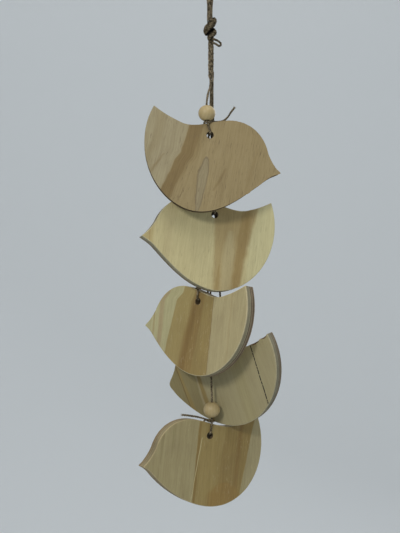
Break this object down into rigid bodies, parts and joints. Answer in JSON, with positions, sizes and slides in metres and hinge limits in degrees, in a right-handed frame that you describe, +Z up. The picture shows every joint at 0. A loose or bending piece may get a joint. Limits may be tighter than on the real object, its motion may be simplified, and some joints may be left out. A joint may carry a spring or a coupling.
{
  "type": "hanging mobile sculpture",
  "caption": "Hanging mobile of flat plywood birds strung one below another on jute twine, each on its own strand under a round wooden bead, with a hanging loop above a big knot.",
  "frame": {"origin": "inside top of the hanging loop, where a hook or nail carries the mobile", "axes": "+Z up along the hanging twine, -Y towards the side that the birds' fronts show to, +X to the right of someone who looks at those fronts"},
  "size_m": [0.1357, 0.0929, 0.5048],
  "materials": {
    "plywood_1": "sawn birch-faced plywood, honey tan with a cream left third, sanded, unvarnished",
    "plywood_2": "sawn plywood, pale cream with an orange-brown heart band, sanded, unvarnished",
    "plywood_3": "sawn plywood, tan with a brown heart band, dark and pale ply lines on the sawn edge",
    "plywood_4": "sawn plywood, pale grey-tan with two ochre streaks and splintered chips on the upper edge",
    "plywood_5": "sawn plywood, pale grey-cream beside a wide olive-brown band",
    "bead_wood": "turned pale beech, sanded, unvarnished",
    "jute_twine": "two-ply twisted jute, dry and hairy"
  },
  "bodies": {
    "root": {"bird_1": "plywood_1", "bird_2": "plywood_2", "bird_3": "plywood_3", "bird_4": "plywood_4", "bird_5": "plywood_5", "bead_1": "bead_wood", "bead_2": "bead_wood", "bead_3": "bead_wood", "bead_4": "bead_wood", "bead_5": "bead_wood", "twine_1": "jute_twine", "twine_2": "jute_twine", "twine_3": "jute_twine", "twine_4": "jute_twine", "twine_5": "jute_twine", "loop_strand_1": "jute_twine", "loop_strand_2": "jute_twine", "knot_bight": "jute_twine", "top_knot": "jute_twine"}
  },
  "joints": []
}
